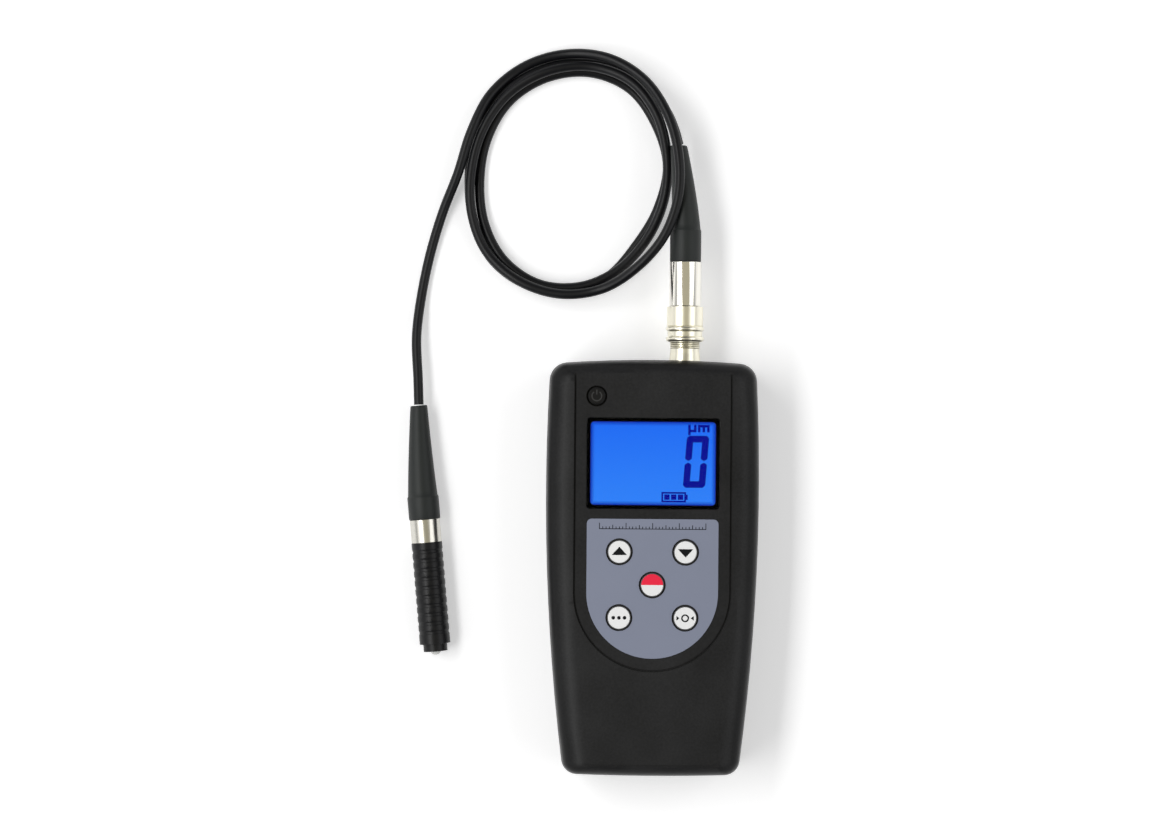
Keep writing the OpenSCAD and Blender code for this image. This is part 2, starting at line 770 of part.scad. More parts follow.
function cell_y(i) = plus_up[i] ? bay_y1 - strip_t - cell_len : bay_y0 + strip_t;

module cell(i) {
    color([0.75, 0.6, 0.3]) translate([cell_x[i], cell_y(i) + (plus_up[i] ? 0 : cell_len), cell_z])
        rotate([plus_up[i] ? -90 : 90, 0, 0]) {
            cylinder(d = cell_d, h = cell_len - nub_len);
            cylinder(d = nub_d, h = cell_len);
        }
}

module strip(x0, x1, y) {
    block([x0 - strip_h / 2, x1 + strip_h / 2], [y, y + strip_t],
        [cell_z - strip_h / 2, cell_z + strip_h / 2]);
}

module upper_contacts() {
    y = bay_y1 - strip_t;
    color([0.8, 0.8, 0.78]) {
        for (x = tab_x) {
            strip(x, x, y);
            block([x - tab_w / 2, x + tab_w / 2], [y, y + strip_t], [cell_z, board_top + tab_over]);
        }
        strip(cell_x[1], cell_x[2], y);
    }
}

module lower_contacts() {
    color([0.8, 0.8, 0.78]) {
        strip(cell_x[0], cell_x[1], bay_y0);
        strip(cell_x[2], cell_x[3], bay_y0);
    }
}

module cell_springs() {
    wide_r = 3.8;
    tip_r = 2.6;
    color([0.8, 0.8, 0.8]) for (i = [0:3])
        translate([cell_x[i], plus_up[i] ? bay_y0 + strip_t : bay_y1 - strip_t, cell_z])
            rotate([plus_up[i] ? -90 : 90, 0, 0]) coil(wide_r, tip_r, 0, spring_len, 3);
}

// Connector

module socket_body() {
    color([0.75, 0.74, 0.7]) on_connector() difference() {
        union() {
            translate([0, 0, -socket_in]) cylinder(d = socket_d, h = socket_in + socket_out);
            cylinder(d1 = plug_d, d2 = plug_d - 1, h = flare_len);
        }
        translate([0, 0, -socket_in - over])
            cylinder(d = insert_d + 2 * slide, h = socket_in + socket_out + 2 * over);
    }
}

module socket_insert() {
    color([0.15, 0.15, 0.15]) on_connector() difference() {
        translate([0, 0, -socket_in]) cylinder(d = insert_d, h = socket_in + ring_at);
        translate([0, 0, -socket_in - over])
            at_pins() cylinder(d = pin_d + 2 * slide, h = socket_in + ring_at + 2 * over);
    }
}

module socket_contacts() {
    color([0.85, 0.7, 0.35]) on_connector() translate([0, 0, -socket_in - 3])
        at_pins() cylinder(d = pin_d, h = socket_in + 4);
}

module socket_nut() {
    color([0.7, 0.7, 0.68]) on_connector() translate([0, 0, -pad_len - nut_t]) difference() {
        cylinder(d = nut_w / cos(30), h = nut_t, $fn = 6);
        translate([0, 0, -over]) cylinder(d = socket_d + 2 * slide, h = nut_t + 2 * over);
    }
}

module coupling_ring() {
    bead_w = 1.8;
    bead_at = [bead_w / 2, bead_w * 2.2];
    bead_end = bead_w * 2.7;
    color([0.78, 0.77, 0.73]) on_connector() translate([0, 0, ring_at]) difference() {
        union() {
            cylinder(d = ring_d - 0.4, h = bead_end);
            translate([0, 0, bead_end]) cylinder(d = ring_d, h = ring_len - bead_end);
            for (z = bead_at) translate([0, 0, z])
                rotate_extrude() translate([(bead_d - bead_w) / 2, 0]) circle(d = bead_w);
        }
        translate([0, 0, -over]) cylinder(d = socket_d + 2 * seat, h = lip_at - ring_at + over);
        translate([0, 0, -over]) cylinder(d = socket_d - 0.8, h = ring_len + 2 * over);
    }
}

module plug_shell() {
    foot = 0.6;
    color([0.78, 0.77, 0.73]) on_connector() difference() {
        union() {
            translate([0, 0, lip_at - seat - foot]) cylinder(d = socket_d, h = foot);
            translate([0, 0, lip_at - seat - foot])
                cylinder(d = socket_d - 0.8 - 2 * seat, h = plug_at - lip_at + seat + foot);
            translate([0, 0, plug_at]) cylinder(d = plug_d, h = plug_len);
        }
        translate([0, 0, -over]) cylinder(d = plug_bore + 2 * slide, h = boot_at + 2 * over);
    }
}

module plug_insert() {
    color([0.2, 0.2, 0.2]) on_connector() difference() {
        translate([0, 0, ring_at + seat]) cylinder(d = plug_bore, h = plug_at - ring_at + plug_len / 2);
        at_pins() cylinder(d = pin_d + 2 * slide, h = boot_at);
    }
}

module plug_pins() {
    color([0.85, 0.7, 0.35]) on_connector() translate([0, 0, over + seat])
        at_pins() cylinder(d = pin_d, h = plug_at);
}

module plug_boot() {
    color([0.19, 0.2, 0.2]) on_connector() translate([0, 0, boot_at])
        boot(boot_d, boot_straight, boot_taper, [-boot_lean, boot_droop]);
}

module probe_cable() {
    path = smooth_path(cable_route, 2);
    color([0.12, 0.13, 0.14]) skin(tube_rings(path, [for (p = path) cable_d / 2], 8, [0, 0, 1]));
}

// Probe

module probe_boot() {
    color([0.19, 0.2, 0.2]) on_probe() mirror([0, 0, 1])
        boot(probe_boot_d, probe_boot_straight, probe_boot_taper, [probe_boot_lean, 0]);
}

module probe_collar() {
    color([0.78, 0.77, 0.73]) on_probe() {
        cylinder(d = collar_d, h = collar_len);
        cylinder(d = sleeve_bore - 2 * slide, h = collar_len + stub_len);
    }
}

module probe_sleeve() {
    rib_n = floor((sleeve_len - rib_pitch) / rib_pitch);
    groove_r = rib_pitch / 2;
    color([0.13, 0.13, 0.13]) on_probe() difference() {
        translate([0, 0, collar_len]) cylinder(d = sleeve_d, h = sleeve_len);
        translate([0, 0, collar_len - over]) cylinder(d = sleeve_bore, h = stop_at - collar_len + over);
        cylinder(d = core_d + 2 * slide, h = sleeve_end + over);
        for (i = [1:rib_n]) translate([0, 0, collar_len + i * rib_pitch])
            rotate_extrude() translate([sleeve_d / 2 - rib_depth + groove_r, 0]) circle(r = groove_r);
    }
}

module probe_core() {
    flange_len = 3;
    color([0.1, 0.1, 0.1]) on_probe() difference() {
        union() {
            translate([0, 0, core_back]) cylinder(d = core_d, h = core_end - core_back);
            translate([0, 0, stop_at - seat / 2 - flange_len])
                cylinder(d = sleeve_bore - 2 * slide, h = flange_len);
        }
        translate([0, 0, core_end - core_wall - 6]) cylinder(d = core_bore, h = 6);
        translate([0, 0, core_end - core_wall - over])
            cylinder(d = tip_d + 2 * slide, h = core_wall + 2 * over);
    }
}

module probe_tip() {
    dome_r = (tip_d * tip_d / 4 + tip_out * tip_out) / (2 * tip_out);
    color([0.92, 0.92, 0.9]) on_probe() translate([0, 0, core_end]) {
        translate([0, 0, -core_wall]) cylinder(d = tip_d, h = core_wall);
        intersection() {
            cylinder(d = tip_d, h = tip_out);
            translate([0, 0, tip_out - dome_r]) sphere(r = dome_r);
        }
    }
}

module sensor_coil() {
    winding_len = 4;
    color([0.7, 0.4, 0.2]) on_probe() translate([0, 0, core_end - core_wall - winding_len])
        tube(core_bore - 2 * slide, core_bore / 3, winding_len);
}

module probe_spring() {
    color([0.75, 0.75, 0.75]) on_probe()
        coil(sleeve_bore / 2 - seat, sleeve_bore / 2 - seat, collar_len + stub_len, core_back, spring_turns);
}

front_shell();
rear_shell();
battery_door();
housing_screws();
display_window();
display_glass();
backlight();
display_frame();
key_label();
main_board();
processor_chip();
board_screws();
for (k = KEYS) {
    key_cap(k);
    key_stem(k);
    key_switch(k);
}
for (i = [0:3]) {
    cell(i);
}
upper_contacts();
lower_contacts();
cell_springs();
socket_body();
socket_insert();
socket_contacts();
socket_nut();
coupling_ring();
plug_shell();
plug_insert();
plug_pins();
plug_boot();
probe_cable();
probe_boot();
probe_collar();
probe_sleeve();
probe_core();
probe_tip();
sensor_coil();
probe_spring();
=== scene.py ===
import json
import math

import bmesh
import bpy
from mathutils import Matrix, Vector


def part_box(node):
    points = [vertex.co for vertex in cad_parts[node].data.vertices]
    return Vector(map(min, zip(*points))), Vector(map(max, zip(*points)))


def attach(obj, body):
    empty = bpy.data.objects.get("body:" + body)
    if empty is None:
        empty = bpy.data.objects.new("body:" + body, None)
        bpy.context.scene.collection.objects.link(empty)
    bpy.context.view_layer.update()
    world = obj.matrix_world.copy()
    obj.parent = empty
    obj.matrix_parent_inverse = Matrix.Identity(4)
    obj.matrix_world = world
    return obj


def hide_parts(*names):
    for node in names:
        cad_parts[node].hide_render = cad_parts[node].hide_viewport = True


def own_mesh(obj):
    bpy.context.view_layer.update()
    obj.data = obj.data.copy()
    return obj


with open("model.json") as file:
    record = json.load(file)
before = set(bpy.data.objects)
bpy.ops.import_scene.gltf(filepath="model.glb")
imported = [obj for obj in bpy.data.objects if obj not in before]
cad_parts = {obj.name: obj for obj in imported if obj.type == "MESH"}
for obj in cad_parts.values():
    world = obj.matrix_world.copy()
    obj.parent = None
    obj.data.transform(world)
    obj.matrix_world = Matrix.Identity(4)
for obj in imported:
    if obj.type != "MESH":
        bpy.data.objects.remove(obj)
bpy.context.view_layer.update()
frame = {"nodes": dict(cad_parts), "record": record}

# Hand-held coating thickness gauge seen from straight above. Lengths below are in millimetres
# and become metres through MM.
MM = 0.001

# Camera: straight above a point beside the gauge, with a slight roll
VIEW_CENTRE = (-19.85, 45.84)
VIEW_WIDTH = 357.2
VIEW_LEVEL = 13
VIEW_HEIGHT = 1200
VIEW_ROLL = 0.45
SENSOR_W = 36

# Floor, and the share of white that it shows of itself, on top of the light that falls on it
FLOOR_SIZE = 8000
FLOOR_WHITE = (0.93, 0.93, 0.93)
FLOOR_LIFT = 0.36

# Light of the room, and what mirrors in the part: white at the horizon, and between the softboxes
# a warm grey overhead that turns dark towards both ends and pale towards the sides
WHITE = (1, 1, 1)
ROOM_LIGHT = (0.26, 0.26, 0.26)
OVERHEAD_SEEN = (0.46, 0.43, 0.33)
SIDES_SEEN = (0.5, 0.5, 0.5)
ENDS_SEEN = (0.08, 0.08, 0.08)
SIDES_FROM, SIDES_TO = 0.42, 0.52
ENDS_FROM, ENDS_TO = 0.1, 0.5
HORIZON_FROM, HORIZON_TO = 0.12, 0.25

# Housing places that the printed and moulded details share
DISPLAY_GLASS_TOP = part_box("display_glass")[1].z / MM
LABEL_TOP_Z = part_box("key_label")[1].z / MM
KEY_TOP_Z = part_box("select_key")[1].z / MM
DISPLAY_Y = (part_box("display_window")[0].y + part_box("display_window")[1].y) / 2 / MM
LIT_SIZE = (37.7, 25.1)
# Width and deep blue of the painted shade along the display's border, where the bezel shades it
EDGE_SHADE_WIDTH = 1.3
LIT_LOWER, LIT_UPPER, EDGE_SHADE_BLUE = (0.028, 0.225, 0.94), (0.012, 0.15, 0.9), (0.002, 0.022, 0.42)
DISPLAY_INK = 0.03
PRINT_INK = 0.02
# Depth below a key's top where the painted shade of the gap round the key begins
KEY_SHADE_DROP = 0.1
KEY_NAMES = ("up", "down", "select", "count", "zero", "power")

# How level a face of the housing is where its painted light starts, and where it is full: level faces are
# painted paler as if lit from above, steep sides darker as painted shade
LIT_FACE_FROM, LIT_FACE_TO = 0.55, 0.92


def key_place(key):
    low, high = (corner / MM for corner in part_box(f"{key}_key"))
    return Vector(((low.x + high.x) / 2, (low.y + high.y) / 2, high.z))


KEYS = {key: key_place(key) for key in KEY_NAMES}


# Shader nodes that the light, the floor and the finishes share

def set_socket(tree, socket, value):
    """Link a socket, or give it a colour or a number."""
    if isinstance(value, bpy.types.NodeSocket):
        tree.links.new(value, socket)
    elif isinstance(value, tuple):
        socket.default_value = (*value, 1)
    else:
        socket.default_value = value


def math_node(tree, kind, first, second=0):
    node = tree.nodes.new("ShaderNodeMath")
    node.operation = kind
    set_socket(tree, node.inputs[0], first)
    set_socket(tree, node.inputs[1], second)
    return node.outputs[0]


def map_range(tree, value, start, end):
    """0 up to start, 1 from end on, and even between them."""
    node = tree.nodes.new("ShaderNodeMapRange")
    set_socket(tree, node.inputs["Value"], value)
    set_socket(tree, node.inputs["From Min"], start)
    set_socket(tree, node.inputs["From Max"], end)
    return node.outputs["Result"]


def blend(tree, factor, first, second):
    """The first colour where the factor is 0 and the second where it is 1."""
    node = tree.nodes.new("ShaderNodeMix")
    node.data_type = "RGBA"
    set_socket(tree, node.inputs["Factor"], factor)
    set_socket(tree, node.inputs["A"], first)
    set_socket(tree, node.inputs["B"], second)
    return node.outputs["Result"]


def coordinate(tree, kind, axis):
    """One axis of a surface's place or of its facing."""
    coords = tree.nodes.new("ShaderNodeTexCoord")
    split = tree.nodes.new("ShaderNodeSeparateXYZ")
    tree.links.new(coords.outputs[kind], split.inputs[0])
    return split.outputs[axis]


def seen_rays(tree, *kinds):
    """1 for rays of the given kinds, else 0."""
    path = tree.nodes.new("ShaderNodeLightPath")
    seen = path.outputs[kinds[0]]
    for kind in kinds[1:]:
        seen = math_node(tree, "MAXIMUM", seen, path.outputs[kind])
    return seen


def new_group(name, takes, gives):
    """An empty node group with named colour, number and direction sockets."""
    tree = bpy.data.node_groups.new(name, "ShaderNodeTree")
    for way, sockets in (("INPUT", takes), ("OUTPUT", gives)):
        for socket, kind in sockets.items():
            tree.interface.new_socket(name=socket, in_out=way, socket_type=f"NodeSocket{kind}")
    return tree, tree.nodes.new("NodeGroupInput").outputs, tree.nodes.new("NodeGroupOutput").inputs


# Camera, light and floor

def make_camera():
    data = bpy.data.cameras.new("camera")
    data.sensor_width = SENSOR_W
    data.lens = SENSOR_W * (VIEW_HEIGHT - VIEW_LEVEL) / VIEW_WIDTH
    data.clip_end = 10
    camera = bpy.data.objects.new("camera", data)
    camera.location = Vector((*VIEW_CENTRE, VIEW_HEIGHT)) * MM
    camera.rotation_euler = (0, 0, math.radians(VIEW_ROLL))
    bpy.context.collection.objects.link(camera)
    bpy.context.scene.camera = camera


def make_softbox(name, place, size, watts, target=(-15, 40, 0)):
    data = bpy.data.lights.new(name, "AREA")
    data.shape = "RECTANGLE"
    data.size, data.size_y = (length * MM for length in size)
    data.energy = watts
    lamp = bpy.data.objects.new(name, data)
    lamp.location = Vector(place) * MM
    aim = (Vector(target) - Vector(place)).to_track_quat("-Z", "Y")
    lamp.rotation_euler = aim.to_euler()
    bpy.context.collection.objects.link(lamp)


def make_lights():
    make_softbox("left_strip", (-583, 60, 933), (1300, 230), 6)
    make_softbox("left_softbox", (-843, 60, 707), (1300, 470), 1.9)
    make_softbox("right_softbox", (791, 60, 764), (1300, 630), 3)
    world = bpy.data.worlds.new("studio")
    world.use_nodes = True
    tree = world.node_tree

    def away(axis, start, end):
        return map_range(tree, math_node(tree, "ABSOLUTE", coordinate(tree, "Generated", axis)), start, end)

    overhead = blend(tree, away("Y", ENDS_FROM, ENDS_TO), OVERHEAD_SEEN, ENDS_SEEN)
    overhead = blend(tree, away("X", SIDES_FROM, SIDES_TO), overhead, SIDES_SEEN)
    above = map_range(tree, coordinate(tree, "Generated", "Z"), HORIZON_FROM, HORIZON_TO)
    room = blend(tree, above, WHITE, overhead)
    mirrored = blend(tree, seen_rays(tree, "Is Glossy Ray", "Is Transmission Ray"), ROOM_LIGHT, room)
    shown = blend(tree, seen_rays(tree, "Is Camera Ray"), mirrored, WHITE)
    tree.links.new(shown, tree.nodes["Background"].inputs["Color"])
    bpy.context.scene.world = world


def make_floor():
    """Pale floor, clear from below, so that the back of the gauge can be looked at."""
    bm = bmesh.new()
    bmesh.ops.create_grid(bm, x_segments=1, y_segments=1, size=FLOOR_SIZE / 2 * MM)
    mesh = bpy.data.meshes.new("floor")
    bm.to_mesh(mesh)
    bm.free()
    floor = bpy.data.objects.new("floor", mesh)
    bpy.context.collection.objects.link(floor)
    mat = bpy.data.materials.new("floor_white")
    mat.use_nodes = True
    tree = mat.node_tree
    bsdf = tree.nodes["Principled BSDF"]
    bsdf.inputs["Base Color"].default_value = (*FLOOR_WHITE, 1)
    bsdf.inputs["Roughness"].default_value = 0.9
    bsdf.inputs["Specular IOR Level"].default_value = 0
    bsdf.inputs["Emission Color"].default_value = (*WHITE, 1)
    seen = seen_rays(tree, "Is Camera Ray", "Is Glossy Ray", "Is Transmission Ray")
    tree.links.new(math_node(tree, "MULTIPLY", seen, FLOOR_LIFT), bsdf.inputs["Emission Strength"])
    facing = tree.nodes.new("ShaderNodeNewGeometry")
    top = math_node(tree, "SUBTRACT", 1, facing.outputs["Backfacing"])
    tree.links.new(top, bsdf.inputs["Alpha"])
    mesh.materials.append(mat)


# Finishes

def grain_group():
    """Fine mottling of a colour, with roughness and bump that follow the same grain."""
    tree, given, made = new_group(
        "fine_grain",
        {"Color": "Color", "Mottle": "Float", "Roughness": "Float", "Spread": "Float", "Scale": "Float",
         "Relief": "Float"},
        {"Color": "Color", "Roughness": "Float", "Normal": "Vector"})
    nodes, links = tree.nodes, tree.links
    coords = nodes.new("ShaderNodeTexCoord")
    noise = nodes.new("ShaderNodeTexNoise")
    noise.inputs["Detail"].default_value = 4
    noise.inputs["Roughness"].default_value = 0.6
    links.new(coords.outputs["Object"], noise.inputs["Vector"])
    links.new(given["Scale"], noise.inputs["Scale"])
    cloud = nodes.new("ShaderNodeTexNoise")
    cloud.inputs["Scale"].default_value = CLOUD_SCALE
    cloud.inputs["Detail"].default_value = 2
    links.new(coords.outputs["Object"], cloud.inputs["Vector"])
    both = math_node(tree, "ADD", noise.outputs["Fac"], cloud.outputs["Fac"])
    centred = math_node(tree, "SUBTRACT", math_node(tree, "MULTIPLY", both, 0.5), 0.5)
    uneven = math_node(tree, "MULTIPLY", centred, given["Spread"])
    shade = math_node(tree, "ADD", 1, math_node(tree, "MULTIPLY", centred, given["Mottle"]))
    tint = nodes.new("ShaderNodeVectorMath")
    tint.operation = "SCALE"
    links.new(given["Color"], tint.inputs[0])
    links.new(shade, tint.inputs["Scale"])
    bump = nodes.new("ShaderNodeBump")
    bump.inputs["Distance"].default_value = GRAIN_DEPTH * MM
    links.new(given["Relief"], bump.inputs["Strength"])
    links.new(noise.outputs["Fac"], bump.inputs["Height"])
    links.new(tint.outputs["Vector"], made["Color"])
    links.new(math_node(tree, "ADD", given["Roughness"], uneven), made["Roughness"])
    links.new(bump.outputs["Normal"], made["Normal"])
    return tree


def gap_shade_group():
    """A colour on top of a key, down to the edge of its top, and a painted shade on the rim below it, for
    the shade in the gap round the key.
    """
    tree, given, made = new_group("key_gap_shade", {"Color": "Color", "GapShade": "Color", "Edge": "Float"},
                                  {"Color": "Color"})
    on_top = math_node(tree, "GREATER_THAN", coordinate(tree, "Object", "Z"), given["Edge"])
    tree.links.new(blend(tree, on_top, given["GapShade"], given["Color"]), made["Color"])
    return tree


CLOUD_SCALE = 60
GRAIN_DEPTH = 0.02
GRAIN = grain_group()
GAP_SHADE = gap_shade_group()


def finish(name, color, roughness, mottle=0.25, spread=0.15, grain=0.35, relief=0.4, **plain):
    """A finish from a colour and a grain size in millimetres; plain sets sockets by name."""
    mat = bpy.data.materials.new(name)
    mat.use_nodes = True
    nodes, links = mat.node_tree.nodes, mat.node_tree.links
    bsdf = nodes["Principled BSDF"]
    group = nodes.new("ShaderNodeGroup")
    group.name = "grain"
    group.node_tree = GRAIN
    for socket, value in (("Color", (*color, 1)), ("Mottle", mottle), ("Roughness", roughness),
                          ("Spread", spread), ("Scale", 1 / (grain * MM)), ("Relief", relief)):
        group.inputs[socket].default_value = value
    links.new(group.outputs["Color"], bsdf.inputs["Base Color"])
    links.new(group.outputs["Roughness"], bsdf.inputs["Roughness"])
    links.new(group.outputs["Normal"], bsdf.inputs["Normal"])
    for socket, value in plain.items():
        bsdf.inputs[socket.replace("_", " ")].default_value = value
    return mat


def two_colours(mat, edge, below, above):
    """One colour on either side of a line across a key, at edge millimetres along Y."""
    tree = mat.node_tree
    side = math_node(tree, "GREATER_THAN", coordinate(tree, "Object", "Y"), edge * MM)
    tree.links.new(blend(tree, side, below, above), tree.nodes["grain"].inputs["Color"])
    return mat


def painted_gap_shade(mat, gap_shade_tone):
    """The finish of a key, with painted shade on the rim below its top, where the gap round the key lies in
    shade.
    """
    tree = mat.node_tree
    colour = tree.nodes["grain"].inputs["Color"]
    group = tree.nodes.new("ShaderNodeGroup")
    group.node_tree = GAP_SHADE
    if colour.links:
        tree.links.new(colour.links[0].from_socket, group.inputs["Color"])
    else:
        group.inputs["Color"].default_value = colour.default_value
    group.inputs["GapShade"].default_value = (*gap_shade_tone, 1)
    group.inputs["Edge"].default_value = (KEY_TOP_Z - KEY_SHADE_DROP) * MM
    tree.links.new(group.outputs["Color"], colour)
    return mat


def painted_lit_faces(mat, side, face):
    """One colour on steep surfaces and a paler one on level faces: painted light on faces that look up,
    painted shade on the steep sides.
    """
    tree = mat.node_tree
    level = math_node(tree, "ABSOLUTE", coordinate(tree, "Normal", "Z"))
    lit_mask = map_range(tree, level, LIT_FACE_FROM, LIT_FACE_TO)
    tree.links.new(blend(tree, lit_mask, side, face), tree.nodes["grain"].inputs["Color"])
    return mat


def lit_display():
    """Blue lit display, a little paler towards its lower edge, with a painted shade of deep blue along its
    border where the bezel shades it.
    """
    mat = bpy.data.materials.new("display_blue")
    mat.use_nodes = True
    tree = mat.node_tree
    bsdf = tree.nodes["Principled BSDF"]
    low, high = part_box("display_glass")
    middle = (low + high) / 2
    half_w, half_h = (size / 2 * MM for size in LIT_SIZE)
    x = math_node(tree, "SUBTRACT", coordinate(tree, "Object", "X"), middle.x)
    y = math_node(tree, "SUBTRACT", coordinate(tree, "Object", "Y"), middle.y)
    from_side = math_node(tree, "SUBTRACT", half_w, math_node(tree, "ABSOLUTE", x))
    from_end = math_node(tree, "SUBTRACT", half_h, math_node(tree, "ABSOLUTE", y))
    lit = blend(tree, map_range(tree, y, -half_h, half_h), LIT_LOWER, LIT_UPPER)
    # Painted shade: the lit blue turns deep blue within the border width of each edge
    edge_shade = map_range(tree, math_node(tree, "MINIMUM", from_side, from_end), 0, EDGE_SHADE_WIDTH * MM)
    tree.links.new(blend(tree, edge_shade, EDGE_SHADE_BLUE, lit), bsdf.inputs["Emission Color"])
    bsdf.inputs["Emission Strength"].default_value = 1
    bsdf.inputs["Base Color"].default_value = (0, 0, 0, 1)
    bsdf.inputs["Roughness"].default_value = 0.6
    bsdf.inputs["Specular IOR Level"].default_value = 0
    return mat


def clear_window():
    mat = bpy.data.materials.new("window_clear")
    mat.use_nodes = True
    bsdf = mat.node_tree.nodes["Principled BSDF"]
    bsdf.inputs["Base Color"].default_value = (0.97, 0.98, 1, 1)
    bsdf.inputs["Roughness"].default_value = 0.03
    bsdf.inputs["IOR"].default_value = 1.18
    bsdf.inputs["Transmission Weight"].default_value = 1
    return mat


def make_finishes():
    # The housing's steep sides take the dark tone and its level faces the paler one, painted light that
    # stands in for the light from above
    black, lit_face_tone = (0.005, 0.005, 0.0053), (0.0225, 0.0226, 0.023)
    white = (0.96, 0.96, 0.955)
    # Dark grey painted on each key's rim below its top: painted shade standing in for the shaded gap round
    # the key
    gap_shade_tone = (0.1, 0.099, 0.1)
    red = (0.97, 0.014, 0.06)
    metal = {"Metallic": 1}
    looks = {
        "housing_plastic": painted_lit_faces(finish("housing_plastic", black, 0.37, 1.5, grain=0.7, relief=1,
                                             Specular_IOR_Level=0.11), black, lit_face_tone),
        "screw_steel": finish("screw_steel", (0.5, 0.5, 0.51), 0.32, relief=0.2, **metal),
        "window_clear": clear_window(),
        "display_blue": lit_display(),
        "light_guide": finish("light_guide", (0.6, 0.75, 0.9), 0.4),
        "frame_plastic": finish("frame_plastic", (0.75, 0.75, 0.72), 0.5),
        "label_film": finish("label_film", (0.242, 0.266, 0.352), 0.42, 0.1, grain=0.2, relief=0.25),
        "board_green": finish("board_green", (0.02, 0.12, 0.05), 0.35, mottle=0.6),
        "chip_black": finish("chip_black", (0.02, 0.02, 0.02), 0.5),
        "key_white": painted_gap_shade(finish("key_white", white, 0.35, 0.06, grain=0.5, relief=0.15), gap_shade_tone),
        "key_black": finish("key_black", (0.006, 0.006, 0.006), 0.42, grain=0.4, relief=0.3,
                            Specular_IOR_Level=0.2),
        "stem_cream": finish("stem_cream", (0.7, 0.62, 0.4), 0.45),
        "switch_black": finish("switch_black", (0.03, 0.03, 0.032), 0.5),
        "cell_foil": finish("cell_foil", (0.55, 0.4, 0.12), 0.3, 0.1),
        "contact_steel": finish("contact_steel", (0.6, 0.6, 0.58), 0.3, relief=0.2, **metal),
        "spring_steel": finish("spring_steel", (0.6, 0.6, 0.6), 0.25, relief=0.1, **metal),
        "nickel": finish("nickel", (0.88, 0.86, 0.79), 0.12, 0.08, 0.04, 0.6, 0.04, **metal),
        "insert_black": finish("insert_black", (0.02, 0.02, 0.02), 0.5),
        "contact_brass": finish("contact_brass", (0.75, 0.55, 0.25), 0.25, **metal),
        "boot_rubber": finish("boot_rubber", (0.017, 0.02, 0.019), 0.5, grain=0.5, relief=0.5,
                              Specular_IOR_Level=0.32),
        "cable_jacket": finish("cable_jacket", (0.0065, 0.0068, 0.008), 0.38, grain=0.8, relief=0.25,
                               Specular_IOR_Level=0.25),
        "sleeve_plastic": finish("sleeve_plastic", (0.006, 0.006, 0.0068), 0.36, relief=0.3,
                                 Specular_IOR_Level=0.25),
        "core_plastic": finish("core_plastic", (0.008, 0.008, 0.0085), 0.4, Specular_IOR_Level=0.25),
        "tip_white": finish("tip_white", (0.82, 0.82, 0.8), 0.15, 0.05, relief=0.05),
        "coil_copper": finish("coil_copper", (0.6, 0.3, 0.12), 0.3, **metal),
    }
    two_tone = finish("key_two_tone", white, 0.35, 0.06, relief=0.15)
    looks["key_two_tone"] = painted_gap_shade(two_colours(two_tone, KEYS["select"].y, white, red), gap_shade_tone)
    looks["display_ink"] = finish("display_ink", (0, 0, 0.01), 0.7, 0.05, relief=0, Specular_IOR_Level=0,
                                  Emission_Color=(0.0006, 0.003, 0.27, 1), Emission_Strength=1)
    looks["print_ink"] = finish("print_ink", (0.008, 0.0085, 0.01), 0.5, 0.1, relief=0.1,
                                Specular_IOR_Level=0.1)
    looks["warm_nickel"] = finish("warm_nickel", (0.92, 0.885, 0.74), 0.3, 0.08, 0.04, 0.6, 0.04, **metal)
    looks["satin_nickel"] = finish("satin_nickel", (0.64, 0.625, 0.57), 0.24, 0.08, 0.04, 0.6, 0.04,
                                   **metal)
    looks["power_mark"] = finish("power_mark", (0.024, 0.024, 0.025), 0.4, 0.1, relief=0.1)
    return looks


# Making pieces

def add_piece(name, bm, look, body, smooth_angle=35):
    mesh = bpy.data.meshes.new(name)
    bm.to_mesh(mesh)
    bm.free()
    mesh.shade_smooth()
    mesh.set_sharp_from_angle(angle=math.radians(smooth_angle))
    mesh.materials.append(LOOKS[look])
    piece = bpy.data.objects.new(name, mesh)
    bpy.context.collection.objects.link(piece)
    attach(piece, body)
    return piece


def dress(node, name, body="gauge", look=None, edge=0.12, segments=2):
    """A merged copy of a solid, with its hard edges softened, that takes the solid's place.

    Large faces lead the shading, so that it stays even up to the softened edges."""
    slot = next(p["material_slot"] for p in frame["record"]["subparts"] if p["node"] == node)
    bm = bmesh.new()
    bm.from_mesh(frame["nodes"][node].data)
    bmesh.ops.remove_doubles(bm, verts=bm.verts, dist=0.001 * MM)
    bmesh.ops.dissolve_limit(bm, angle_limit=math.radians(0.02), verts=bm.verts, edges=bm.edges)
    piece = add_piece(name, bm, look or slot, body)
    if edge:
        soft = piece.modifiers.new("soft_edges", "BEVEL")
        soft.width = edge * MM
        soft.segments = segments
        soft.limit_method = "ANGLE"
        soft.angle_limit = math.radians(35)
        soft.use_clamp_overlap = True
        even = piece.modifiers.new("even_shading", "WEIGHTED_NORMAL")
        even.weight = 50
        even.keep_sharp = True
    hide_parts(node)
    return piece


def make_printed(name, outlines, z, look, body, thick=PRINT_INK):
    """Flat printed shapes from closed outlines in millimetres, standing proud by thick."""
    bm = bmesh.new()
    for outline in outlines:
        verts = [bm.verts.new(Vector((x, y, z)) * MM) for x, y in outline]
        bm.faces.new(verts)
    bmesh.ops.recalc_face_normals(bm, faces=bm.faces)
    raised = bmesh.ops.extrude_face_region(bm, geom=bm.faces[:])["geom"]
    up = [part for part in raised if isinstance(part, bmesh.types.BMVert)]
    bmesh.ops.translate(bm, verts=up, vec=Vector((0, 0, thick)) * MM)
    bmesh.ops.recalc_face_normals(bm, faces=bm.faces)
    return add_piece(name, bm, look, body)


